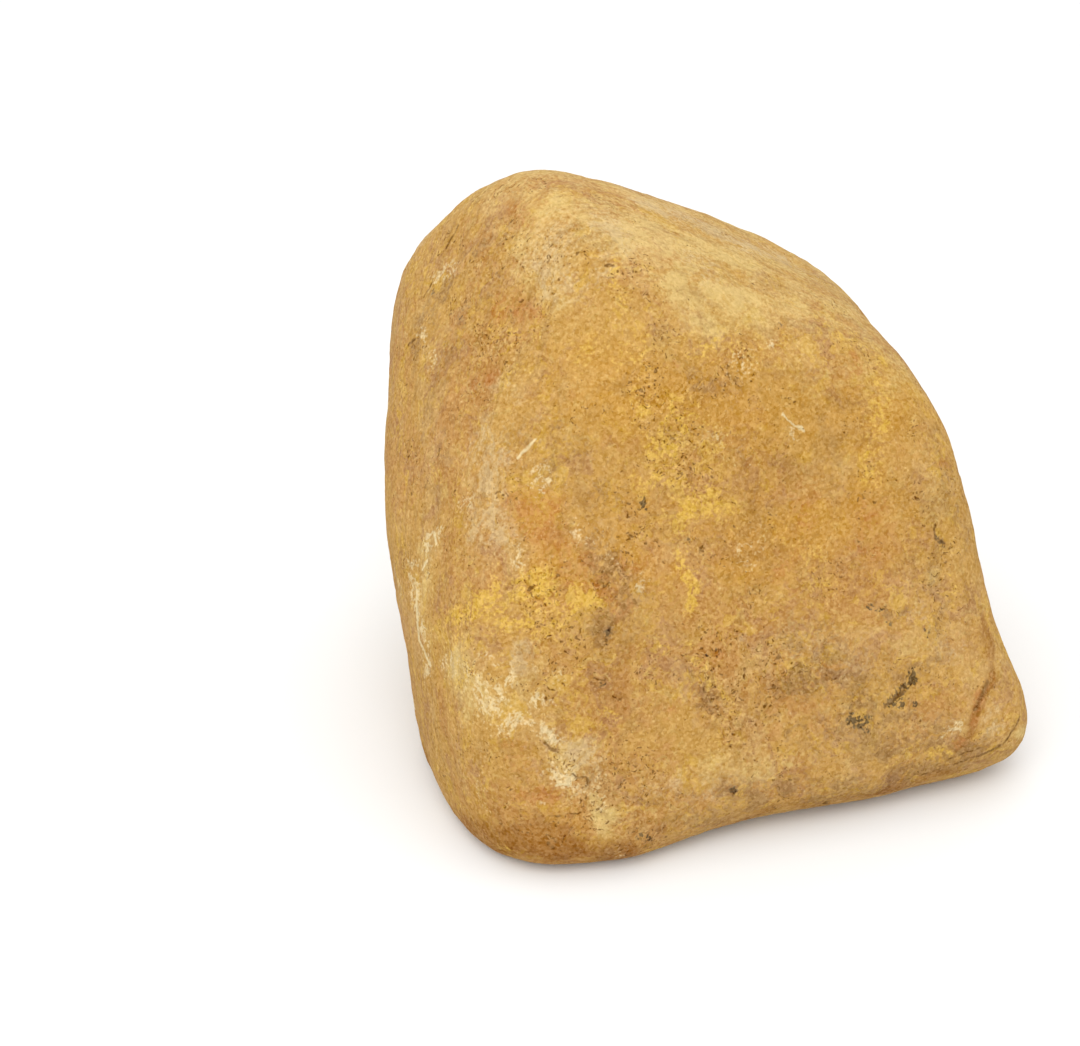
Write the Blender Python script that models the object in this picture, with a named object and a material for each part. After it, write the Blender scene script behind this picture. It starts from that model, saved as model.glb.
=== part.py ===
"""A weathered sandstone boulder: one block of bedded stone with its corners worn round, on a flat bed.

The block is described from a point inside it, the heart. Each of its faces is a plane at a distance from
the heart, and weathering has rounded every edge where two of them meet. Lumps, hollows, grooves and ledges
are then added to that block, and the underside is cut flat where the stone bears on the ground.

Metres, +Z up. The broad front face looks along -Y. The origin is on the ground, under the middle of the
stone's box.
"""

import math
from typing import NamedTuple

import bmesh
import bpy
from mathutils import Vector, noise

MM = 0.001

GRID = 30  # cells along each side of the six-sided blank
BLUNTNESS = 10.0  # how tightly the weathered edges follow the block's corners: higher is sharper
GROUND = 137 * MM  # depth of the underside below the heart
GROUND_BLUNTNESS = 26.0  # the same for the edge round the underside, which is tighter
BED_CUT = 3 * MM  # height of the flat bed above the lowest point of the worn block


class Face(NamedTuple):
    """One plane of the block, given by the way it looks and its distance from the heart."""

    bearing: float  # degrees round from the front, -Y, towards the right, +X
    tilt: float  # degrees above the horizon
    distance: float


FACES = {
    "front": Face(-1, 25, 145 * MM),
    "right": Face(90, 10, 186 * MM),
    "foot": Face(87, 11, 220 * MM),
    "back_right": Face(135, 5, 205 * MM),
    "back": Face(176, 5, 160 * MM),
    "back_left": Face(-147, -4, 202 * MM),
    "left": Face(-118, -8, 190 * MM),
    "toe": Face(-81, -6, 224 * MM),
    "top": Face(57, 65, 207 * MM),
    "right_shoulder": Face(98, 50, 223 * MM),
    "left_shoulder": Face(-67, 30, 207 * MM),
    "nape": Face(172, 31, 186 * MM),
    "sill": Face(4, -59, 208 * MM),
    "foot_underside": Face(105, -44, 243 * MM),
}


class Form(NamedTuple):
    """A lump, hollow, ridge or groove along a path over the stone. A path of one place makes a round one."""

    path: tuple  # (bearing, tilt) of each place on it, in degrees
    width: float  # distance from the path at which it has mostly died away
    rise: float  # height above the block, or depth below it where negative


FORMS = {
    "waist above the foot": Form(((51, -4), (50, -10)), 34 * MM, -3 * MM),
    "tip of the foot": Form(((50, -18),), 44 * MM, 12 * MM),
    "rolled rim of the foot": Form(((45, -26), (34, -29), (24, -31)), 26 * MM, 4 * MM),
    "groove round the foot": Form(((43, -8), (40, -13), (38, -15), (34, -19), (25, -24)), 10 * MM, -3 * MM),
    "hollow under the front": Form(((-9, -31), (0, -31)), 34 * MM, -3 * MM),
    "bulge of the toe": Form(((-62, -24), (-44, -29), (-28, -31)), 42 * MM, 6 * MM),
    "fold over the toe": Form(((-46, -20), (-39, -20), (-32, -20)), 12 * MM, -2.5 * MM),
    "edge above the toe": Form(((-53, 1), (-48, -5), (-40, -8), (-31, -19), (-25, -28)), 16 * MM, 2 * MM),
    "shoulder over the left side": Form(((-100, 52), (-84, 40)), 50 * MM, 5 * MM),
    "slack on the right shoulder": Form(((82, 50), (108, 62)), 55 * MM, -4 * MM),
    "chip on the crown": Form(((-125, 76),), 16 * MM, -3 * MM),
    "notch on the back ridge": Form(((104, 64),), 15 * MM, -3 * MM),
    "spall scar on the back": Form(((158, 6), (-176, 16)), 50 * MM, -9 * MM),
    "lip over the spall scar": Form(((138, 24), (165, 34), (-168, 38)), 24 * MM, 4 * MM),
    "swelling at the back corner": Form(((-142, -14),), 60 * MM, 6 * MM),
    "hollow on the right flank": Form(((106, 16), (94, -6)), 44 * MM, -5 * MM),
    "rib down the right flank": Form(((128, 34), (124, 4), (120, -28)), 26 * MM, 6 * MM),
    "scar low on the left side": Form(((-112, -12), (-98, -24)), 34 * MM, -4 * MM),
}

UNDULATION = 3.0 * MM  # height of the broad swells that no face or form describes
UNDULATION_SIZE = 120 * MM

BEDDING = FACES["front"]  # the beds of the stone lie parallel to this face
LEDGE = 2.6 * MM  # how far a harder bed stands out from the softer ones beside it
BED_THICKNESS = 34 * MM
BED_LENGTH = 170 * MM  # how far a bed runs before it swells or thins out


def direction(bearing, tilt):
    """The unit vector from the heart that looks that way."""
    round_z, up = math.radians(bearing), math.radians(tilt)
    return Vector((math.sin(round_z) * math.cos(up), -math.cos(round_z) * math.cos(up), math.sin(up)))


def block_reach(way, faces):
    """How far the worn block reaches from the heart in the direction way."""
    block = sum(max(0.0, way.dot(normal) / distance) ** BLUNTNESS for normal, distance in faces)
    ground = max(0.0, -way.z / GROUND) ** GROUND_BLUNTNESS
    return (block ** (GROUND_BLUNTNESS / BLUNTNESS) + ground) ** (-1 / GROUND_BLUNTNESS)


def distance_to_path(point, path):
    """The distance from a point to the nearest place on a path of one or more points."""
    nearest = (point - path[0]).length
    for start, end in zip(path, path[1:]):
        along = end - start
        share = max(0.0, min(1.0, (point - start).dot(along) / along.length_squared))
        nearest = min(nearest, (point - start - along * share).length)
    return nearest


def ledges(point, bedding):
    """How far the hard and soft beds of the stone stand out or lie back at a point of its surface."""
    across = bedding * point.dot(bedding)
    return LEDGE * noise.noise((point - across) / BED_LENGTH + across / BED_THICKNESS)


def stone_surface():
    """A function that gives the point of the stone's surface in any direction from the heart."""
    bedding = direction(BEDDING.bearing, BEDDING.tilt)
    faces = [(direction(face.bearing, face.tilt), face.distance) for face in FACES.values()]
    forms = []
    for form in FORMS.values():
        ways = [direction(bearing, tilt) for bearing, tilt in form.path]
        forms.append(([way * block_reach(way, faces) for way in ways], form.width, form.rise))

    def surface(way):
        point = way * block_reach(way, faces)
        rise = UNDULATION * noise.fractal(point / UNDULATION_SIZE, 0.8, 2.0, 4) + ledges(point, bedding)
        for path, width, height in forms:
            rise += height * math.exp(-((distance_to_path(point, path) / width) ** 2))
        # The relief dies away towards the ground, so that the underside stays level.
        clear_of_ground = 1 - max(0.0, -point.z / GROUND) ** GROUND_BLUNTNESS
        return point + way * rise * clear_of_ground

    return surface


def even_spread(coordinate):
    """Spaces the blank's grid so that its cells come out alike on the sphere."""
    return math.tan(coordinate * math.pi / 4)


def shaped_blank(surface):
    """A cube with a grid on each side, each point of it moved out to the stone's surface."""
    mesh = bmesh.new()
    bmesh.ops.create_cube(mesh, size=2.0)
    bmesh.ops.subdivide_edges(mesh, edges=mesh.edges[:], cuts=GRID - 1, use_grid_fill=True)
    for vertex in mesh.verts:
        vertex.co = surface(Vector(map(even_spread, vertex.co)).normalized())
    return mesh


def cut_flat_bed(mesh):
    """Cuts the underside off level and closes it with one flat face."""
    bed = min(vertex.co.z for vertex in mesh.verts) + BED_CUT
    cut = bmesh.ops.bisect_plane(
        mesh,
        geom=mesh.verts[:] + mesh.edges[:] + mesh.faces[:],
        plane_co=(0, 0, bed),
        plane_no=(0, 0, -1),
        clear_outer=True,
    )
    rim = [item for item in cut["geom_cut"] if isinstance(item, bmesh.types.BMEdge)]
    bmesh.ops.contextual_create(mesh, geom=rim)


def middle_of_the_base(mesh):
    """The point under the middle of the stone's box, at the height of its lowest point."""
    low, high = (
        Vector(pick(vertex.co[axis] for vertex in mesh.verts) for axis in range(3)) for pick in (min, max)
    )
    return Vector(((low.x + high.x) / 2, (low.y + high.y) / 2, low.z))


def sandstone():
    material = bpy.data.materials.new("honey sandstone")
    material.use_nodes = True
    shader = material.node_tree.nodes["Principled BSDF"]
    shader.inputs["Base Color"].default_value = (0.58, 0.34, 0.10, 1.0)
    shader.inputs["Roughness"].default_value = 0.85
    shader.inputs["Metallic"].default_value = 0.0
    return material


def build_boulder():
    mesh = shaped_blank(stone_surface())
    cut_flat_bed(mesh)
    bmesh.ops.translate(mesh, verts=mesh.verts[:], vec=-middle_of_the_base(mesh))
    bmesh.ops.recalc_face_normals(mesh, faces=mesh.faces[:])
    data = bpy.data.meshes.new("boulder")
    mesh.to_mesh(data)
    mesh.free()
    data.materials.append(sandstone())
    data.shade_smooth()
    boulder = bpy.data.objects.new("boulder", data)
    bpy.context.scene.collection.objects.link(boulder)
    return boulder


for leftover in list(bpy.data.objects):
    bpy.data.objects.remove(leftover)
build_boulder()
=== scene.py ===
import math
from typing import NamedTuple

import bmesh
import bpy
import numpy as np
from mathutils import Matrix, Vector, noise
from mathutils.bvhtree import BVHTree


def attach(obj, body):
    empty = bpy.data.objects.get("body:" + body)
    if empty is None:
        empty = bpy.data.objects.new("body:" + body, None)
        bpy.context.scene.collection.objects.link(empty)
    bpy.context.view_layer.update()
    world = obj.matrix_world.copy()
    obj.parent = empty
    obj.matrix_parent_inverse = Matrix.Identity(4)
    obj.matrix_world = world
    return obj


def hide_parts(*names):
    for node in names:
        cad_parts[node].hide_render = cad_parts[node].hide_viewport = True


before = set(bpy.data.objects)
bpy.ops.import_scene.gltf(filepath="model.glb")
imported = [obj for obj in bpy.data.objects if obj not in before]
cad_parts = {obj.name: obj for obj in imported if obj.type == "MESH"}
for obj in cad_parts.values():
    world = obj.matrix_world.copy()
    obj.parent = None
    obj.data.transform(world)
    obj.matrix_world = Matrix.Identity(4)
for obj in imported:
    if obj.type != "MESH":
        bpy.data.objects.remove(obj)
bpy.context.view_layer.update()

# A weathered sandstone boulder on a pale studio floor. Metres, +Z up, the broad front face towards -Y.

MM = 0.001

HEART = Vector((3, 17, 134)) * MM  # the point inside the stone that bearings and tilts are measured from
BEDDING_TILT = math.radians(25)  # the beds lie parallel to the front face, which leans back this far

MERGE_DISTANCE = 0.01 * MM  # corners of the solid's triangles closer than this are one corner
FLAT_ENOUGH = math.radians(40)  # two triangles that are flatter than this to each other may make a quad,
SQUARE_ENOUGH = math.radians(60)  # if its corners are no further than this from square
FACET_SMOOTHING = 3  # subdivisions that smooth the solid's facets away
RAY_LENGTH = 1.0  # metres, well past the stone's surface

SKIN_CELLS = 126  # along each side of the six-sided skin
SKIN = {
    "Swell size": 45 * MM,
    "Swell height": 1.6 * MM,
    "Ledge thickness": 11 * MM,
    "Ledge length": 90 * MM,
    "Ledge height": 1.3 * MM,
    "Grain size": 9 * MM,
    "Grain height": 0.7 * MM,
    "Pit spacing": 14 * MM,
    "Pit depth": 0.9 * MM,
    "Pit floor": 0.12,  # the flat part of a pit and its rim reach so far, as shares of the spacing
    "Pit rim": 0.34,
    "Cells without a pit": 0.62,
    "Bed edge": 1 * MM,  # the relief begins at this height and is full at the ground clearance
    "Ground clearance": 14 * MM,
    "Seed": 7.0,
}

# Stains on the surface, light and shade painted on it, and the places where it is pitted. Each mark is a
# path of (bearing, tilt) places in degrees, how far it spreads to either side in millimetres, and its
# strength.
WARP = 9 * MM  # the marks' outlines wander by this much
WARP_SIZE = 22 * MM  # in waves of this size
WARP_SEED = 7
TOP_LIGHT_AND_BLEACH = 0.7  # how much paler a level surface is made: partly sun bleaching, partly painted light from above
PALE_TOP_SLOPE = 0.375  # the upward share of the surface's normal at which that begins; level is 1
STAINS_AND_PAINTED_LIGHT = {
    "ochre": [  # iron yellow, washed over the shoulders
        (((-45, 55), (10, 55), (48, 40)), 45, 0.9),
        (((-30, 28), (5, 25), (35, 20)), 45, 0.9),
        (((-62, 30), (-50, 30)), 30, 0.6),
        (((-50, -22), (-38, -21)), 26, 0.8),
        (((-54, 32), (-48, 24), (-44, 16), (-36, 14)), 22, 1.0),
        (((95, 35), (120, 20), (150, 28)), 40, 0.9),
        (((-170, 50), (-150, 30), (-120, 25)), 40, 0.8),
    ],
    "bleach_and_top_light": [  # pale from sun and rain, and paler on the top as painted light from above
        (((-62, 79), (10, 84), (35, 78)), 43, 0.8),
        (((-85, 64), (-70, 64)), 30, 0.5),
        (((-25, 78), (0, 82)), 17, 1.0),
        (((0, 79), (15, 74)), 18, 1.05),
        (((-25, 76), (-5, 70)), 15, 0.8),
        (((-13, 50),), 16, 0.5),
        (((32, 63), (26, 54)), 20, 0.35),
        (((-73, 12), (-69, 5), (-67, 0)), 14, 0.6),
        (((47, 19),), 18, 0.5),
        (((-37, -13), (-30, -20)), 18, 0.5),
        (((-50, -2), (-43, -1)), 18, 0.5),
        (((-32, -18), (-30, -21)), 9, 1.0),
        (((47, -20), (43, -18)), 7, 1.0),
        (((40, 5),), 6, 0.9),
        (((-58, -1), (-52, -5)), 16, 1.0),
        (((-10, -20), (3, -22)), 14, 0.5),
        (((75, 5), (90, -5), (110, 0)), 26, 0.7),
        (((170, 10), (-175, 0), (-155, 5)), 34, 0.8),
        (((-125, -5), (-110, 5)), 24, 0.6),
    ],
    "dust": [  # grey dust and dried mud
        (((-141, 84), (136, 83), (99, 77), (102, 65)), 18, 1.0),
        (((-66, 37), (-62, 30), (-57, 23)), 20, 0.8),
        (((-69, 64), (-58, 69)), 16, 0.8),
        (((-8, 82), (2, 80)), 13, 0.6),
        (((-80, 66), (-70, 74)), 26, 0.7),
        (((-74, 44), (-66, 47)), 10, 0.7),
        (((38.5, -17.5), (41.5, -15.5)), 6, 1.3),
        (((-46, 4), (-46, 1)), 8, 1.0),
        (((22, -7), (10, -4)), 20, 0.4),
        (((34, 1), (38, -6)), 12, 0.6),
        (((-20, -20), (-12, -22)), 20, 0.5),
        (((-5, 0), (-2, 8)), 10, 0.4),
        (((-39, -9), (-34, -13), (-34, -16)), 11, 1.1),
        (((135, -8), (150, -14)), 22, 0.8),
        (((-135, 40), (-125, 48)), 20, 0.8),
    ],
    "dark_film_and_shade": [  # a thin dark film, and painted shade on the underside along the bottom of the front
        (((-38, 22), (-31, 13), (-34, 6)), 14, 1.2),
        (((-17, -4), (-12, -9)), 15, 0.9),
        (((-56, 41), (-49, 34)), 16, 0.6),
        (((-36, 36), (-40, 33)), 14, 0.6),
        (((-51, 32), (-57, 38)), 15, 0.5),
        (((-17, 61), (0, 59)), 14, 0.7),
        (((-24, 50), (2, 49)), 14, 0.6),
        (((10, -3), (21, -10), (24, -13)), 26, 0.85),
        (((8.5, -8.5), (2, -12)), 20, 0.7),
        (((-33, 18), (-28, 4)), 16, 0.6),
        (((30, -9), (29, -13), (24, -16)), 9, 1.1),
        (((-41, -12),), 4, 1.3),
        # painted shade: this mark and the next darken the underside along the bottom of the front
        (((-34, -26), (-10, -27)), 16, 0.6),
        (((-9, -24), (8, -27), (27, -24.5), (36, -20.5)), 14, 1.1),
        (((-98, 62), (-101, 50), (-98, 40)), 11, 0.8),
        (((-105, 66),), 14, 0.4),
        (((-41, 20), (-39, 9)), 13, 0.4),
        (((-90, 58), (-88, 45), (-85, 30)), 14, 0.5),
        (((-79, 34), (-74, 22)), 12, 0.5),
        (((54, 30), (48, 8)), 8, 0.7),
        (((8, -17), (22, -18), (31, -19)), 18, 0.85),
        (((42, 9), (38, -1), (34, -11)), 13, 0.65),
        (((-25, -21), (-14, -23)), 15, 0.5),
        (((-60, 39), (-48, 43)), 18, 0.5),
        (((51, 45),), 14, 0.4),
        (((29, 3), (32, 1.5)), 4, 1.2),
        (((80, 25), (85, 10), (78, -8)), 16, 0.8),
        (((125, -18), (160, -20), (-160, -19)), 14, 0.7),
        (((-140, 5), (-132, -12)), 20, 0.8),
        (((155, 45), (170, 38)), 18, 0.7),
    ],
    "painted_shade": [  # painted shade: darker along the underside near the ground, and in the groove at the right foot
        (((-56, -27), (-46, -23), (-39, -22), (-33, -25), (-28, -28)), 15, 1.1),
        (((-10, -30), (12, -29), (35, -25)), 8, 0.7),
        (((60, -27), (100, -27), (140, -27), (180, -28), (-140, -29), (-100, -30), (-70, -29)), 12, 0.7),
        (((46, -4), (43, -8), (40, -13), (37, -16), (35, -19.5)), 5, 1.2),
    ],
    "rust_and_groove_shade": [  # iron that has rusted, and painted shade in the groove at the right foot
        (((-98, 66), (-94, 66)), 10, 1.0),
        (((-82, 55), (-74, 58)), 12, 1.0),
        (((-73, 46), (-76, 43)), 7, 0.9),
        # painted shade: this mark and the next darken the groove at the right foot
        (((41, -11), (39, -13), (38, -15)), 5, 1.4),
        (((38, -15), (34.5, -19.5)), 7, 0.8),
        (((-14, -3), (-10, -2)), 7, 0.8),
        (((-43, -16), (-39, -16)), 10, 1.0),
        (((-46, -11), (-42, -13)), 12, 0.6),
        (((52, 26),), 9, 0.7),
        (((-60, 7),), 7, 1.0),
        (((-32, 21), (-28, 24)), 10, 0.6),
        (((49, 45), (48, 50)), 9, 0.75),
        (((-30, -6), (-20, -10)), 10, 0.5),
        (((20, 33), (10, 12)), 12, 0.6),
        (((-52, 28), (-44, 22), (-40, 14), (-34, 12)), 18, 0.8),
        (((36, 24), (30, 16)), 14, 0.6),
        (((44, 62), (50, 55)), 12, 0.2),
        (((-22, 62), (-10, 66)), 10, 0.5),
    ],
    "limonite": [  # a bright yellow iron mineral
        (((-60, 5), (-57, 8), (-52, 13), (-49, 15), (-43, 13), (-38, 13)), 12, 1.3),
        (((-55, 10), (-50, 9)), 12, 1.1),
        (((-50, 8), (-42, 9)), 12, 0.8),
        (((-60, 0), (-54, -2), (-58, -3)), 11, 0.7),
        (((-27, 40), (-17, 36), (-9, 30)), 24, 0.6),
        (((-20, 37), (-18, 32), (-9, 35)), 18, 0.9),
        (((-20, 28), (-19, 22), (-17, 15), (-16.5, 10)), 6, 1.2),
        (((-17, 2), (-15, -1)), 7, 0.8),
        (((-31, 54), (-17, 52), (-29, 46), (-13, 46)), 22, 0.65),
        (((-27, 4), (-23, 1)), 8, 0.6),
        (((-14, -1), (-10, -10), (-7, -17)), 13, 0.5),
        (((53, 61), (57, 50), (48, 42), (40, 35), (39, 29)), 12, 0.65),
        (((71, 42),), 12, 0.5),
        (((-79, 53), (-72, 53)), 9, 0.8),
        (((-66, 50), (-69, 47)), 6, 0.8),
        (((-49, 59), (-34, 63), (13, 65)), 20, 0.5),
        (((-59, 71), (-50, 68)), 10, 0.7),
        (((43, 4),), 6, 1.1),
        (((21, -21.8), (28, -21), (34, -20.5)), 6, 0.8),
        (((-38, -7), (-30, -9)), 16, 0.5),
        (((12, 24), (18, 12)), 20, 0.45),
        (((-47, -24), (-44, -25)), 6, 0.6),
        (((70, 20), (82, 16), (92, 22)), 12, 0.8),
        (((128, 12), (140, 4), (152, 8)), 16, 0.9),
        (((-160, 22), (-150, 14)), 14, 0.9),
        (((-118, -12), (-108, -16)), 10, 0.8),
    ],
    "chalk": [  # white scuffs where the stone was knocked
        (((-77, 9), (-72, 3), (-68, -2), (-65, -8)), 8, 1.1),
        (((-72, 16), (-72, 10)), 8, 1.1),
        (((-85, 2), (-81, 1)), 5, 1.0),
        (((-68, 24), (-66, 26)), 7, 1.1),
        (((-60, -2), (-53, -2)), 12, 0.8),
        (((-52, 2), (-48, 0)), 10, 0.8),
        (((-51, -3), (-48, -6), (-44, -6)), 15, 0.9),
        (((-45, -6), (-43, -4)), 9, 0.8),
        (((-39.5, -8.5), (-38, -9.5)), 6, 1.5),
        (((-39, -13), (-36, -16)), 8, 0.9),
        (((-33, -16), (-30, -20)), 9, 0.7),
        (((-105, 50), (-103, 53)), 6, 1.0),
        (((-98, 43), (-92, 41)), 8, 0.7),
        (((26, 64),), 5, 1.1),
        (((20, 46),), 5, 0.9),
        (((-53, 35), (-52, 33)), 8, 1.2),
        (((-53, 23), (-51, 17)), 5, 0.8),
        (((4, 24), (0, 20)), 12, 0.7),
        (((34, -16.8), (32, -18.2)), 5, 1.2),
        (((-29, 19), (-29, 16)), 7, 0.8),
        (((-40, -2), (-41, 0)), 7, 0.8),
        (((-36, 22), (-42, 26)), 9, 0.6),
        (((-49, -16), (-48, -19)), 5, 0.8),
        (((-40.8, -17.7),), 4, 1.1),
        (((-29, -27), (-28, -26)), 5, 1.1),
        (((-55, -30), (-52, -28)), 4, 0.9),
        (((-8, 50), (5, 47)), 12, 0.4),
        (((2, 64), (12, 62)), 10, 0.45),
        (((100, 8), (108, 2)), 9, 0.9),
        (((160, 20), (168, 14)), 8, 0.9),
        (((-145, -6), (-140, -10)), 12, 0.9),
        (((-122, 18), (-119, 12)), 7, 0.9),
        (((75, -15),), 7, 0.9),
    ],
    "manganese": [  # black specks
        (((-31, 35), (-29, 32)), 4, 1.2),
        (((-18, 26),), 4, 0.9),
        (((-33, 6), (-34, 5)), 4, 0.9),
        (((-34, -2),), 5, 1.0),
        (((-14, -1), (-11, -1)), 4, 0.9),
        (((18.2, -16.2), (20.2, -16.1)), 5.2, 2.8),
        (((29.5, -9), (29, -11)), 4.6, 1.8),
        (((24, -14.3), (26.5, -13), (28.8, -11.2)), 2.7, 2.2),
        (((29, -13), (28, -13)), 5, 0.9),
        (((28, 3.2), (30, 2.6)), 4, 0.9),
        (((30, 0.5),), 3, 1.0),
        (((35, -3),), 4, 1.2),
        (((43, 13), (43, 11)), 4, 1.0),
        (((-7, -24),), 5, 1.1),
        (((-24, -26), (-25, -24)), 5, 0.9),
        (((32, 66),), 4, 0.9),
        (((-103, 49),), 4, 1.0),
        (((-90, 50),), 4, 0.9),
        (((-34, -15),), 4, 1.1),
        (((18, -8), (20, -9)), 4, 0.7),
        (((88, 2), (90, 0)), 4, 1.0),
        (((145, 24),), 5, 1.1),
        (((-168, -8), (-166, -10)), 5, 1.0),
        (((-128, 8),), 4, 1.1),
    ],
    "pitted": [  # coarse places, thick with pinholes
        (((-14, 3), (-9, -8), (-7, -16)), 13, 1.1),
        (((-32, 56), (-17, 43)), 17, 0.9),
        (((-18, 59), (2, 61)), 12, 0.7),
        (((-93, 58), (-80, 68)), 24, 0.6),
        (((-80, 50), (-73, 52)), 10, 0.9),
        (((-48, 16), (-44, 8)), 12, 0.9),
        (((-58, 6),), 9, 0.8),
        (((-34, 22), (-35, 5)), 14, 0.5),
        (((-6, 0), (10, -8)), 20, 0.5),
        (((-38, -15), (-26, -22)), 20, 0.6),
        (((42, 9),), 14, 0.5),
    ],
}

# Fine marks: from one (bearing, tilt) place to another, and how wide in millimetres.
CRACKS = [
    ((-40.7, -9.6), (-39.4, -10.3), 1.3),
    ((-39.4, -10.3), (-38.7, -11.2), 1.7),
    ((-36, -14.6), (-34.1, -15.4), 1.3),
    ((-34.1, -15.4), (-33.5, -16.3), 1.4),
    ((-38.3, -22.7), (-37.5, -23.6), 1.5),
    # painted shade: this line darkens the groove at the right foot
    ((41, -11.6), (38, -14.8), 2.8),
    ((44.2, -16.2), (40.8, -19.4), 1.6),
    ((40.8, -19.4), (36.9, -21.6), 1.8),
    ((36.9, -21.6), (31.7, -23.8), 1.7),
    ((31.7, -23.8), (26, -25.9), 1.4),
    ((39.1, -19), (33, -22), 1.0),
    ((28.1, -11.8), (24, -13.9), 1.9),
    ((-45.6, -20.6), (-39.7, -19.2), 1.2),
    ((-39.7, -19.2), (-34.2, -19.8), 1.0),
    ((-31.4, -5.2), (-29.8, -5.8), 1.1),
    ((-34.9, -1.4), (-33.2, -2.3), 1.4),
    ((44.3, 15), (43.3, 12.6), 1.5),
    ((-111, 56), (-109, 53), 1.1),
    ((-106, 49), (-105, 46), 1.0),
    ((-100, 41), (-101, 39), 1.4),
    ((-97, 40.5), (-97, 39), 1.4),
    ((-56.5, 71), (-59, 70), 1.2),
    ((118, 30), (130, 26), 1.6),
    ((130, 26), (137, 27), 1.3),
    ((-172, 12), (-163, 6), 1.7),
    ((84, -6), (86, -11), 1.5),
]
SCRATCHES = [
    ((19, 51), (25, 46), 1.3),
    ((-58, 36), (-56, 40), 1.4),
    ((-72.8, 5), (-70, -3), 2.0),
    ((-70, -3), (-65, -5.4), 2.0),
    ((-72, 16.3), (-70.5, 15), 1.6),
    ((-71.7, 11.5), (-72.5, 9.3), 1.6),
    ((-38, -15.5), (-36, -15.6), 1.4),
    ((-65, -25.5), (-64.5, -27), 1.6),
]

# ---------------------------------------------------------------- the colours of the stone

GROUND_COLOUR = "#a88142"  # the iron-yellow cement that holds the grains
SEAM_COLOUR = "#86653a"
HOLLOW_DIRT_AND_SHADE_COLOUR = "#61421a"  # dirt and painted shade in a pinhole or a crack
SCRATCH_COLOUR = "#c4b084"


class Layer(NamedTuple):
    """A colour laid over the ground colour and over the layers before it."""

    stain: str  # the stain, or the painted light or shade, that it follows, if any
    colour: str
    size: float  # of its clouds, in millimetres
    fray: float  # how ragged the clouds make it
    grit: float  # how ragged the grit makes it
    start: float  # the level at which it begins to show
    full: float  # the level at which it is full
    cover: float  # the share of the surface that it hides there
    spread: float  # how strong it is in the patches on the sides and the back


LAYERS = [
    Layer("", "#9e7040", 110, 0.8, 0.1, -0.20, 0.60, 0.6, 0.0),
    Layer("", "#b08e5a", 60, 0.8, 0.1, 0.00, 0.60, 0.5, 0.0),
    Layer("", "#966f4a", 36, 0.8, 0.1, 0.10, 0.70, 0.6, 0.0),
    Layer("", "#b8933f", 26, 0.8, 0.1, 0.10, 0.70, 0.55, 0.0),
    Layer("", "#b3965a", 12, 0.8, 0.1, 0.20, 0.80, 0.45, 0.0),
    Layer("ochre", "#a87b33", 50, 0.8, 0.2, 0.10, 1.30, 0.7, 0.7),
    Layer("bleach_and_top_light", "#bfa468", 40, 0.7, 0.3, 0.10, 1.10, 0.8, 0.6),
    Layer("dust", "#b7a077", 22, 1.0, 0.4, 0.20, 1.30, 0.6, 0.7),
    Layer("dark_film_and_shade", "#7a5c3c", 20, 1.2, 0.5, 0.20, 1.30, 0.55, 0.8),
    Layer("painted_shade", "#80521f", 40, 0.6, 0.2, 0.10, 1.00, 0.6, 0.0),
    Layer("rust_and_groove_shade", "#9c6330", 18, 1.2, 0.4, 0.20, 1.30, 0.6, 0.6),
    Layer("limonite", "#bf9a42", 14, 1.2, 0.7, 0.40, 1.40, 0.80, 0.6),
    Layer("chalk", "#c9b58a", 12, 1.3, 0.9, 0.45, 1.60, 0.75, 0.6),
    Layer("manganese", "#3a2c18", 8, 1.0, 0.6, 0.55, 1.05, 0.85, 0.45),
]
CLOUD_DETAIL = 3  # mm, the finest part of a layer's clouds
LAYER_STEP = 1.7  # metres through the noise from one layer's clouds to the next one's

# The patterns of the stone, with their sizes in millimetres.
BED_FLATNESS, SEAM_FLATNESS = 2, 9  # how much longer than thick the patterns are that follow the beds
DRIFT, DRIFT_SIZE = 12, 30  # how far the outlines of the marks drift, and in waves of what size
WANDER, WANDER_SIZE = 1.5, 7  # the same for fine lines
CRUMB = 1.8  # sand grains are 0.3 mm and don't show, so they are drawn as crumbs of this size
CLUMP = 2.6  # crumbs that hold together
CRUMB_GRIT, CLUMP_GRIT = 0.4, 0.7  # how much each of them makes the edges of the stains ragged
SIDE_PATCH = 90
PATCHES_BEGIN, PATCHES_FULL = 60, 20  # heights across the beds, of which the front face is the highest
PATCH_LEVELS = (-0.1, 0.35)  # levels of the noise: no patch at the first, a full one at the second
SIDE_PITTED = 0.6  # how pitted the stone is in the first set of patches
SEAM_SIZE = 40
SEAM_LEVELS = (0.1, 0.9)
SEAM_SHARE = 0.35  # how far a seam hides what it crosses
BROAD_SIZE = 150  # about a hand's width
PIT_ZONE = 30
PIT_LEVELS = (-0.3, 0.6)  # levels of the noise: few pinholes at the first, many at the second
FEW_PINHOLES = 0.25  # the share of them that are left there
PINHOLES = ((3.2, 0.36), (6.5, 0.22))  # their spacing, and a hole's reach as a share of it
HOLELESS = 0.35  # the share of the places that have no hole even where they are thickest
HOLE_EDGE = 0.10  # how soft the edge of a hole is, as a share of the spacing
RAGGED, RAGGED_SIZE = 0.25, 2.5  # how ragged its outline is, and at what size
HOLLOW_DIRT_AND_SHADE_SHARE = 0.75  # how far the dirt and painted shade of a pinhole or a crack hides what it crosses
LINE_CORE = 0.3  # the share of a fine line's width that has its full strength

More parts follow.
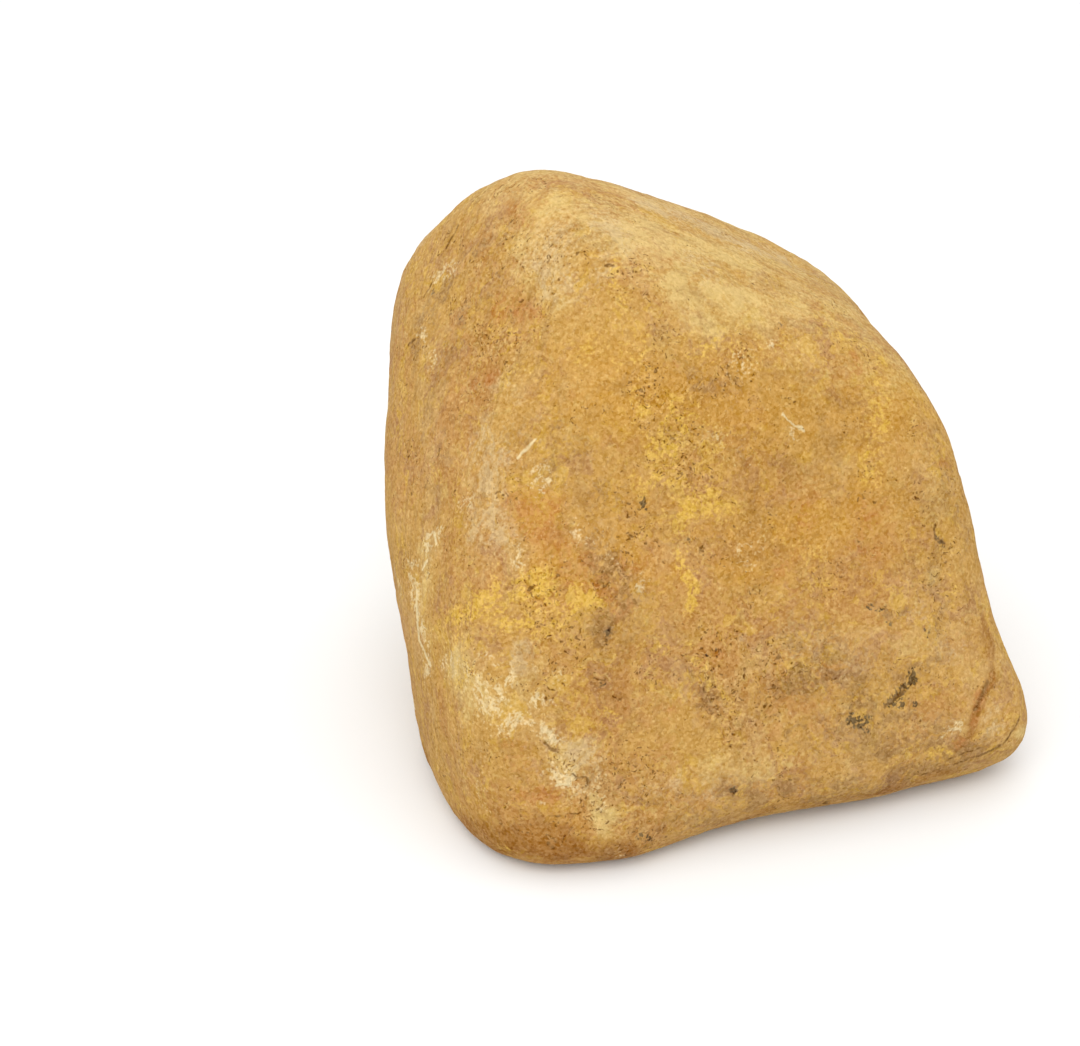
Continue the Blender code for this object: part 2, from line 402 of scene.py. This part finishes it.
# Light and dark grains: how far each pattern moves the colour, and the way in which it moves.
CRUMB_TONE = 0.29
CLUMP_TONE = 0.12
BROAD_TONE = 0.05
PLAIN_TONE = 0.95  # the strength of the first two where the stone is plain
PITTED_TONE = 0.45  # so much is added where the stone is pitted
BLEACH_AND_TOP_LIGHT_TONE = -0.3  # and taken off where it is bleached or painted paler by light from above
TINT = (0.40, 0.29, 0.14)  # linear red, green and blue

BUMP = 0.8 * MM  # height of the finest relief, of which the crumbs and the seams have these shares
CRUMB_RELIEF, SEAM_RELIEF = 1.2, 0.3


def linear(colour):
    """The linear colour, with alpha, of an sRGB hex value."""
    shares = (int(colour[i:i + 2], 16) / 255 for i in (1, 3, 5))
    return [c / 12.92 if c <= 0.04045 else ((c + 0.055) / 1.055) ** 2.4 for c in shares] + [1.0]


def add(tree, kind, *feeds, **settings):
    """Adds a node and returns its first output in use. The feeds, values or other nodes' outputs, go to
    its inputs in use in their order, or to those that a single dict names."""
    node = tree.nodes.new(kind)
    for name, value in settings.items():
        setattr(node, name, value)
    if feeds and isinstance(feeds[0], dict):
        fed = [(node.inputs[name], feed) for name, feed in feeds[0].items()]
    else:
        fed = zip([socket for socket in node.inputs if socket.enabled], feeds)
    for socket, feed in fed:
        if isinstance(feed, bpy.types.NodeSocket):
            tree.links.new(feed, socket)
        else:
            socket.default_value = feed
    return next((socket for socket in node.outputs if socket.enabled), None)


def direction(bearing, tilt):
    """The unit vector that looks that way: degrees round from the front to the right, and upwards."""
    turn, up = math.radians(bearing), math.radians(tilt)
    return Vector((math.sin(turn) * math.cos(up), -math.cos(turn) * math.cos(up), math.sin(up)))


# ---------------------------------------------------------------- the skin of the stone


def skin_tree():
    """Geometry Nodes: an even skin drawn tight over the solid, with the relief of worn sandstone."""
    tree = bpy.data.node_groups.new("stone skin", "GeometryNodeTree")
    kinds = {"Geometry": "Geometry", **dict.fromkeys(SKIN, "Float")}
    kinds.update({"Cells": "Int", "Heart": "Vector", "Material": "Material"})
    for name, kind in kinds.items():
        tree.interface.new_socket(name, in_out="INPUT", socket_type="NodeSocket" + kind)
    tree.interface.new_socket("Geometry", in_out="OUTPUT", socket_type="NodeSocketGeometry")
    given = add(tree, "NodeGroupInput").node.outputs

    # An even blank: a gridded cube whose points look out from the heart in evenly spread directions.
    points = add(tree, "ShaderNodeMath", given["Cells"], 1, operation="ADD")
    blank = add(
        tree,
        "GeometryNodeMeshCube",
        {"Size": (2, 2, 2), "Vertices X": points, "Vertices Y": points, "Vertices Z": points},
    )
    place = add(tree, "GeometryNodeInputPosition")
    spread = add(tree, "ShaderNodeVectorMath", place, (math.pi / 4,) * 3, operation="MULTIPLY")
    tangent = add(tree, "ShaderNodeVectorMath", spread, operation="TANGENT")
    way = add(tree, "ShaderNodeVectorMath", tangent, operation="NORMALIZE")

    # Each of its points is pulled in along its direction, on to the solid with its facets smoothed away.
    rounded = {"Mesh": given["Geometry"], "Level": FACET_SMOOTHING}
    smooth = add(tree, "GeometryNodeSubdivisionSurface", rounded)
    ray = {"Target Geometry": smooth, "Source Position": given["Heart"], "Ray Direction": way}
    ray["Ray Length"] = RAY_LENGTH
    hit = add(tree, "GeometryNodeRaycast", ray).node.outputs["Hit Position"]
    skin = add(tree, "GeometryNodeSetPosition", {"Geometry": blank, "Position": hit})

    # Relief: the place is turned so that its third coordinate runs across the beds of the stone.
    turned = {"Vector": place, "Angle": BEDDING_TILT - math.pi / 2}
    bedded = add(tree, "ShaderNodeVectorRotate", turned, rotation_type="X_AXIS")
    length, thickness = given["Ledge length"], given["Ledge thickness"]
    flatness = add(tree, "ShaderNodeMath", length, thickness, operation="DIVIDE")
    across = add(tree, "ShaderNodeCombineXYZ", 1.0, 1.0, flatness)
    in_beds = add(tree, "ShaderNodeVectorMath", bedded, across, operation="MULTIPLY")
    rise = 0.0
    for where, size, height, seed_step in (
        (place, "Swell size", "Swell height", 0.0),
        (place, "Grain size", "Grain height", 11.0),
        (in_beds, "Ledge length", "Ledge height", 23.0),
    ):
        seed = add(tree, "ShaderNodeMath", given["Seed"], seed_step, operation="ADD")
        scale = add(tree, "ShaderNodeMath", 1.0, given[size], operation="DIVIDE")
        wave = {"Vector": where, "W": seed, "Scale": scale}
        wave = add(tree, "ShaderNodeTexNoise", wave, noise_dimensions="4D")
        centred = add(tree, "ShaderNodeMath", wave, 0.5, operation="SUBTRACT")
        swing = add(tree, "ShaderNodeMath", given[height], 2.0, operation="MULTIPLY")
        rise = add(tree, "ShaderNodeMath", centred, swing, rise, operation="MULTIPLY_ADD")

    # Pits where a softer spot has fallen out: a dent in some of the cells of a scattered pattern.
    pit_scale = add(tree, "ShaderNodeMath", 1.0, given["Pit spacing"], operation="DIVIDE")
    cells = add(tree, "ShaderNodeTexVoronoi", {"Vector": place, "Scale": pit_scale}).node.outputs
    chance = add(tree, "FunctionNodeSeparateColor", cells["Color"])
    pitless = given["Cells without a pit"]
    chosen = add(tree, "ShaderNodeMath", chance, pitless, operation="GREATER_THAN")
    bowl = {"Value": cells["Distance"], "From Min": given["Pit floor"], "From Max": given["Pit rim"]}
    bowl.update({"To Min": 1.0, "To Max": 0.0})
    dent = add(tree, "ShaderNodeMapRange", bowl, interpolation_type="SMOOTHSTEP")
    dent = add(tree, "ShaderNodeMath", dent, chosen, operation="MULTIPLY")
    pits = add(tree, "ShaderNodeMath", dent, given["Pit depth"], operation="MULTIPLY")
    rise = add(tree, "ShaderNodeMath", rise, pits, operation="SUBTRACT")

    # Nothing is raised where the stone meets the ground, so that its bed stays flat.
    height = add(tree, "ShaderNodeSeparateXYZ", place).node.outputs["Z"]
    clearance = {"Value": height, "From Min": given["Bed edge"], "From Max": given["Ground clearance"]}
    clear = add(tree, "ShaderNodeMapRange", clearance, interpolation_type="SMOOTHSTEP")
    rise = add(tree, "ShaderNodeMath", rise, clear, operation="MULTIPLY")
    outwards = add(tree, "GeometryNodeInputNormal")
    offset = add(tree, "ShaderNodeVectorMath", outwards, rise, operation="SCALE")
    worn = add(tree, "GeometryNodeSetPosition", {"Geometry": skin, "Offset": offset})
    smoothed = add(tree, "GeometryNodeSetShadeSmooth", {"Geometry": worn})
    finish = {"Geometry": smoothed, "Material": given["Material"]}
    finished = add(tree, "GeometryNodeSetMaterial", finish)
    realized = add(tree, "GeometryNodeRealizeInstances", {"Geometry": finished})
    add(tree, "NodeGroupOutput", {"Geometry": realized})
    return tree


def merged_solid(node):
    """A copy of the CAD solid's mesh with its loose triangles joined into one closed skin of quads."""
    mesh = bmesh.new()
    mesh.from_mesh(node.data)
    bmesh.ops.remove_doubles(mesh, verts=mesh.verts[:], dist=MERGE_DISTANCE)
    bmesh.ops.join_triangles(
        mesh,
        faces=mesh.faces[:],
        angle_face_threshold=FLAT_ENOUGH,
        angle_shape_threshold=SQUARE_ENOUGH,
    )
    merged = bpy.data.meshes.new("merged solid")
    mesh.to_mesh(merged)
    mesh.free()
    return merged


def stone_skin(solid, material):
    """The stone's visible surface as one plain mesh object."""
    blank = bpy.data.objects.new("stone blank", solid)
    bpy.context.scene.collection.objects.link(blank)
    modifier = blank.modifiers.new("stone skin", "NODES")
    modifier.node_group = skin_tree()
    values = {**SKIN, "Cells": SKIN_CELLS, "Heart": HEART, "Material": material}
    for item in modifier.node_group.interface.items_tree:
        if item.in_out == "INPUT" and item.name in values:
            modifier[item.identifier] = values[item.name]
    graph = bpy.context.evaluated_depsgraph_get()
    mesh = bpy.data.meshes.new_from_object(blank.evaluated_get(graph), depsgraph=graph)
    bpy.data.objects.remove(blank)
    stone = bpy.data.objects.new("weathered_stone", mesh)
    bpy.context.scene.collection.objects.link(stone)
    return stone


# ---------------------------------------------------------------- stains on the surface


def surface_of(mesh):
    """A mesh's surface, on which a point can be looked up by its direction."""
    return BVHTree.FromPolygons([v.co for v in mesh.vertices], [p.vertices for p in mesh.polygons])


def on_the_stone(surface, place):
    """The point of the surface that lies that (bearing, tilt) way from the heart."""
    return surface.ray_cast(HEART, direction(*place))[0]


def stain(mesh, surface, name, marks):
    """Stores how strongly a stain, or a painted light or shade, marks each point of the stone, in an
    attribute of the same name.
    """
    noise.seed_set(WARP_SEED)
    points = np.array([v.co + WARP * noise.noise_vector(v.co / WARP_SIZE) for v in mesh.vertices])
    strongest = np.zeros(len(points))
    for path, width, strength in marks:
        places = [np.array(on_the_stone(surface, place)) for place in path]
        away = np.linalg.norm(points - places[0], axis=1)
        for start, end in zip(places, places[1:]):
            along = end - start
            share = np.clip((points - start) @ along / (along @ along), 0, 1)
            away = np.minimum(away, np.linalg.norm(points - start - share[:, None] * along, axis=1))
        strongest = np.maximum(strongest, strength * np.exp(-((away / (width * MM)) ** 2)))
    # Places that face upwards are made paler: partly sun bleaching, partly painted light from above.
    if name == "bleach_and_top_light":
        normals = np.empty(len(mesh.vertices) * 3)
        mesh.vertices.foreach_get("normal", normals)
        level = (normals[2::3] - PALE_TOP_SLOPE) / (1 - PALE_TOP_SLOPE)
        strongest = np.maximum(strongest, TOP_LIGHT_AND_BLEACH * np.clip(level, 0, 1))
    mesh.attributes.new(name, "FLOAT", "POINT").data.foreach_set("value", strongest)


# ---------------------------------------------------------------- materials


def side_patches(tree, bedded, drifted):
    """Three sets of wide patches on the sides and the back. Most placed marks are on the front."""
    depth = add(tree, "ShaderNodeSeparateXYZ", bedded).node.outputs["Z"]
    behind = {"Value": depth, "From Min": PATCHES_BEGIN * MM, "From Max": PATCHES_FULL * MM}
    behind = add(tree, "ShaderNodeMapRange", behind)
    regions = {"Vector": drifted, "Scale": 1000 / SIDE_PATCH, "Detail": 1.0}
    regions = add(tree, "ShaderNodeTexNoise", regions, normalize=False).node.outputs["Color"]
    patches = []
    none, full = PATCH_LEVELS
    for region in add(tree, "ShaderNodeSeparateColor", regions).node.outputs:
        patch = {"Value": region, "From Min": none, "From Max": full}
        patch = add(tree, "ShaderNodeMapRange", patch)
        patches.append(add(tree, "ShaderNodeMath", patch, behind, operation="MULTIPLY"))
    return patches


def layered_colour(tree, drifted, grit, patches):
    """The ground colour with every layer laid over it."""
    colour = linear(GROUND_COLOUR)
    for number, layer in enumerate(LAYERS):
        spot = add(tree, "ShaderNodeVectorMath", drifted, (number * LAYER_STEP, 0, 0), operation="ADD")
        clouds = {"Vector": spot, "Scale": 1000 / layer.size, "Roughness": 0.8}
        clouds["Detail"] = math.log2(layer.size / CLOUD_DETAIL)
        field = add(tree, "ShaderNodeTexNoise", clouds, normalize=False)
        field = add(tree, "ShaderNodeMath", field, layer.fray, operation="MULTIPLY")
        if layer.stain:
            mark = add(tree, "ShaderNodeAttribute", attribute_name=layer.stain).node.outputs["Fac"]
            patch = patches[number % len(patches)]
            stained = add(tree, "ShaderNodeMath", patch, layer.spread, mark, operation="MULTIPLY_ADD")
            field = add(tree, "ShaderNodeMath", field, stained, stained, operation="MULTIPLY_ADD")
        field = add(tree, "ShaderNodeMath", grit, layer.grit, field, operation="MULTIPLY_ADD")
        share = {"Value": field, "From Min": layer.start, "From Max": layer.full, "To Max": layer.cover}
        share = add(tree, "ShaderNodeMapRange", share, interpolation_type="SMOOTHSTEP")
        colour = add(tree, "ShaderNodeMix", share, colour, linear(layer.colour), data_type="RGBA")
    return colour


def pinholes(tree, place, drifted, pitted):
    """Holes where a crumb has fallen out: scattered, and thick where the stone is pitted."""
    thick = {"Vector": place, "Scale": 1000 / PIT_ZONE, "Detail": 3.0}
    thick = add(tree, "ShaderNodeTexNoise", thick, normalize=False)
    thick = add(tree, "ShaderNodeMath", thick, pitted, operation="ADD")
    few, many = PIT_LEVELS
    thick = {"Value": thick, "From Min": few, "From Max": many, "To Min": FEW_PINHOLES}
    thick = add(tree, "ShaderNodeMapRange", thick)
    ragged = {"Vector": place, "Scale": 1000 / RAGGED_SIZE, "Detail": 1.0}
    ragged = add(tree, "ShaderNodeTexNoise", ragged, normalize=False)
    holes = 0.0
    for spacing, reach in PINHOLES:
        cells = {"Vector": drifted, "Scale": 1000 / spacing}
        cells = add(tree, "ShaderNodeTexVoronoi", cells).node.outputs
        chance = add(tree, "ShaderNodeSeparateColor", cells["Color"])
        chance = add(tree, "ShaderNodeMath", chance, thick, operation="MULTIPLY")
        steep, level = reach * 2, -reach * 2 * HOLELESS
        wide = add(tree, "ShaderNodeMath", chance, steep, level, operation="MULTIPLY_ADD")
        inside = add(tree, "ShaderNodeMath", wide, cells["Distance"], operation="SUBTRACT")
        inside = add(tree, "ShaderNodeMath", ragged, RAGGED, inside, operation="MULTIPLY_ADD")
        hole = {"Value": inside, "From Min": -HOLE_EDGE, "From Max": HOLE_EDGE}
        hole = add(tree, "ShaderNodeMapRange", hole)
        holes = add(tree, "ShaderNodeMath", hole, holes, operation="MAXIMUM")
    return holes


def fine_lines(tree, surface, wandering, lines):
    """Cracks or scratches: how much each place is in one of them, by its distance from the nearest."""
    strongest = 0.0
    for start, end, width in lines:
        start, end = (on_the_stone(surface, where) for where in (start, end))
        way = end - start
        per_length = way / way.length_squared
        offset = add(tree, "ShaderNodeVectorMath", wandering, start, operation="SUBTRACT")
        along = add(tree, "ShaderNodeVectorMath", offset, per_length, operation="DOT_PRODUCT")
        along = add(tree, "ShaderNodeMath", along, 1.0, operation="MULTIPLY", use_clamp=True)
        foot = add(tree, "ShaderNodeVectorMath", way, along, operation="SCALE")
        away = add(tree, "ShaderNodeVectorMath", offset, foot, operation="DISTANCE")
        line = {"Value": away, "From Min": width * MM, "From Max": LINE_CORE * width * MM}
        line = add(tree, "ShaderNodeMapRange", line)
        strongest = add(tree, "ShaderNodeMath", line, strongest, operation="MAXIMUM")
    return strongest


def weathered_sandstone(surface):
    """Weathered honey sandstone: split along its beds and worn round. Quartz grains the size of fine
    sugar in an iron-yellow cement give a dry, matt, speckled face; seen edge-on the beds show as thin
    streaks. Limonite and rusty iron have bled out of it in clouds, and a thin dark coat lies on it in
    places.
    Its top shows sun bleaching and dust, and is painted paler where it faces up, as light from above;
    painted shade darkens its underside, the toe and the groove at the right foot. Chalky scuffs lie on
    the high places, and black manganese specks and pinholes pepper it; the pinholes and the cracks are
    darkened with dirt and painted shade. The cracks and the scratches are drawn along the given surface."""
    material = bpy.data.materials.new("weathered honey sandstone")
    material.use_nodes = True
    tree = material.node_tree
    tree.nodes.clear()

    place = add(tree, "ShaderNodeTexCoord").node.outputs["Object"]
    turned = {"Vector": place, "Rotation": (BEDDING_TILT - math.pi / 2, 0, 0)}
    bedded = add(tree, "ShaderNodeMapping", turned)
    flat = add(tree, "ShaderNodeMapping", {"Vector": bedded, "Scale": (1, 1, BED_FLATNESS)})
    thin = add(tree, "ShaderNodeMapping", {"Vector": bedded, "Scale": (1, 1, SEAM_FLATNESS)})

    # The outline of every mark drifts by some millimetres, and that of a fine one wanders by one or two.
    drift = {"Vector": place, "Scale": 1000 / DRIFT_SIZE, "Detail": 3.0, "Roughness": 0.7}
    drift = add(tree, "ShaderNodeTexNoise", drift, normalize=False).node.outputs["Color"]
    far = (DRIFT * MM,) * 3
    drifted = add(tree, "ShaderNodeVectorMath", drift, far, flat, operation="MULTIPLY_ADD")
    wander = {"Vector": place, "Scale": 1000 / WANDER_SIZE, "Detail": 2.0}
    wander = add(tree, "ShaderNodeTexNoise", wander, normalize=False)
    wander = add(tree, "ShaderNodeMath", wander, WANDER * MM, operation="MULTIPLY")
    wandering = add(tree, "ShaderNodeVectorMath", place, wander, operation="ADD")

    # Crumbs, each with its own lots: the first says how light it is, the second how it takes a stain.
    crumbs = add(tree, "ShaderNodeTexVoronoi", {"Vector": place, "Scale": 1000 / CRUMB}).node.outputs
    lots = add(tree, "ShaderNodeSeparateColor", crumbs["Color"]).node.outputs
    clumps = {"Vector": place, "Scale": 1000 / CLUMP, "Detail": 1.0, "Roughness": 0.8}
    clumps = add(tree, "ShaderNodeTexNoise", clumps, normalize=False)
    grit = add(tree, "ShaderNodeMath", lots[1], 0.5, operation="SUBTRACT")
    grit = add(tree, "ShaderNodeMath", grit, CRUMB_GRIT, operation="MULTIPLY")
    grit = add(tree, "ShaderNodeMath", clumps, CLUMP_GRIT, grit, operation="MULTIPLY_ADD")

    patches = side_patches(tree, bedded, drifted)
    colour = layered_colour(tree, drifted, grit, patches)

    # Seams: the edges of thin dark beds.
    seams = {"Vector": thin, "Scale": 1000 / SEAM_SIZE, "Detail": 4.0, "Roughness": 0.8}
    seams = add(tree, "ShaderNodeTexNoise", seams, normalize=False)
    none, full = SEAM_LEVELS
    seam = {"Value": seams, "From Min": none, "From Max": full, "To Max": SEAM_SHARE}
    seam = add(tree, "ShaderNodeMapRange", seam)
    colour = add(tree, "ShaderNodeMix", seam, colour, linear(SEAM_COLOUR), data_type="RGBA")

    # Hollows, darkened with dirt and painted shade, and scratches.
    pitted = add(tree, "ShaderNodeAttribute", attribute_name="pitted").node.outputs["Fac"]
    pitted = add(tree, "ShaderNodeMath", patches[0], SIDE_PITTED, pitted, operation="MULTIPLY_ADD")
    holes = pinholes(tree, place, drifted, pitted)
    cracks = fine_lines(tree, surface, wandering, CRACKS)
    scratches = fine_lines(tree, surface, wandering, SCRATCHES)
    colour = add(tree, "ShaderNodeMix", scratches, colour, linear(SCRATCH_COLOUR), data_type="RGBA")
    dirt_and_shade_in_hollows = add(tree, "ShaderNodeMath", holes, cracks, operation="MAXIMUM")
    dirt_and_shade_in_hollows = add(tree, "ShaderNodeMath", dirt_and_shade_in_hollows, HOLLOW_DIRT_AND_SHADE_SHARE, operation="MULTIPLY")
    colour = add(tree, "ShaderNodeMix", dirt_and_shade_in_hollows, colour, linear(HOLLOW_DIRT_AND_SHADE_COLOUR), data_type="RGBA")

    # Light and dark at every size from hand-wide to crumb, in the stone's own hue: no grain stands out.
    broad = {"Vector": flat, "Scale": 1000 / BROAD_SIZE, "Detail": 6.0, "Roughness": 0.9}
    broad = add(tree, "ShaderNodeTexNoise", broad, normalize=False)
    tone = add(tree, "ShaderNodeMath", lots[0], 0.5, operation="SUBTRACT")
    tone = add(tree, "ShaderNodeMath", tone, CRUMB_TONE, operation="MULTIPLY")
    tone = add(tree, "ShaderNodeMath", clumps, CLUMP_TONE, tone, operation="MULTIPLY_ADD")
    bleach_and_top_light = add(tree, "ShaderNodeAttribute", attribute_name="bleach_and_top_light").node.outputs["Fac"]
    coarse = add(tree, "ShaderNodeMath", pitted, PITTED_TONE, PLAIN_TONE, operation="MULTIPLY_ADD")
    coarse = add(tree, "ShaderNodeMath", bleach_and_top_light, BLEACH_AND_TOP_LIGHT_TONE, coarse, operation="MULTIPLY_ADD")
    crumb_height = add(tree, "ShaderNodeMath", tone, coarse, operation="MULTIPLY")
    tone = add(tree, "ShaderNodeMath", broad, BROAD_TONE, crumb_height, operation="MULTIPLY_ADD")
    tint = add(tree, "ShaderNodeVectorMath", TINT, tone, operation="SCALE")
    colour = add(tree, "ShaderNodeVectorMath", colour, tint, operation="ADD")

    # Height for the bump: the crumbs stand up and the beds' edges are ribbed.
    relief = add(tree, "ShaderNodeMath", crumb_height, CRUMB_RELIEF, operation="MULTIPLY")
    relief = add(tree, "ShaderNodeMath", seams, SEAM_RELIEF, relief, operation="MULTIPLY_ADD")
    bump = add(tree, "ShaderNodeBump", {"Height": relief, "Strength": 0.8, "Distance": BUMP})
    dryness = add(tree, "ShaderNodeMapRange", {"Value": clumps, "To Min": 0.95, "To Max": 0.75})
    finish = {
        "Base Color": colour,
        "Roughness": dryness,
        "IOR": 1.5,
        "Specular IOR Level": 0.2,
        "Normal": bump,
    }
    add(tree, "ShaderNodeOutputMaterial", {"Surface": add(tree, "ShaderNodeBsdfPrincipled", finish)})
    return material


def painted_board():
    """Matt white painted board: rolled emulsion, bright and even with no shine."""
    material = bpy.data.materials.new("matt white painted board")
    material.use_nodes = True
    shader = material.node_tree.nodes["Principled BSDF"]
    shader.inputs["Base Color"].default_value = linear("#e0e0df")
    shader.inputs["Roughness"].default_value = 0.9
    return material


# ---------------------------------------------------------------- the object


solid = merged_solid(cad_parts["boulder"])
stone = stone_skin(solid, weathered_sandstone(surface_of(solid)))
worn_surface = surface_of(stone.data)
for name, marks in STAINS_AND_PAINTED_LIGHT.items():
    stain(stone.data, worn_surface, name, marks)
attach(stone, "root")
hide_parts("boulder")


# ---------------------------------------------------------------- the studio


FLOOR = 8.0  # metres across
SKY = 1.35  # strength of the white surroundings
LENS = 60  # mm
CAMERA_BEARING, CAMERA_TILT = -17, 30
CAMERA_DISTANCE = 1.30
AIM = Vector((-88, 44, 135)) * MM  # beside the stone, which stands to the right in the frame

floor_mesh = bmesh.new()
bmesh.ops.create_grid(floor_mesh, x_segments=1, y_segments=1, size=FLOOR / 2)
floor_data = bpy.data.meshes.new("floor")
floor_mesh.to_mesh(floor_data)
floor_mesh.free()
floor_data.materials.append(painted_board())
floor = bpy.data.objects.new("floor", floor_data)
bpy.context.scene.collection.objects.link(floor)


def placed(data, name, location, aim):
    """An object at a location, turned to look at the aim."""
    thing = bpy.data.objects.new(name, data)
    thing.location = location
    thing.rotation_euler = (Vector(aim) - Vector(location)).to_track_quat("-Z", "Y").to_euler()
    bpy.context.scene.collection.objects.link(thing)
    return thing


def softbox(name, bearing, tilt, distance, size, watts):
    """A square lamp in that direction from the stone, turned towards it."""
    lamp = bpy.data.lights.new(name, "AREA")
    lamp.size = size
    lamp.energy = watts
    return placed(lamp, name, HEART + direction(bearing, tilt) * distance, HEART)


softbox("key softbox", bearing=-32, tilt=50, distance=1.9, size=1.3, watts=14)

world = bpy.data.worlds.new("studio")
bpy.context.scene.world = world
world.use_nodes = True
world.node_tree.nodes["Background"].inputs["Color"].default_value = linear("#ffffff")
world.node_tree.nodes["Background"].inputs["Strength"].default_value = SKY

bpy.context.scene.view_settings.view_transform = "Standard"

camera_data = bpy.data.cameras.new("camera")
camera_data.lens = LENS
camera_data.sensor_width = 36
view = AIM + direction(CAMERA_BEARING, CAMERA_TILT) * CAMERA_DISTANCE
camera = placed(camera_data, "camera", view, AIM)
bpy.context.scene.camera = camera
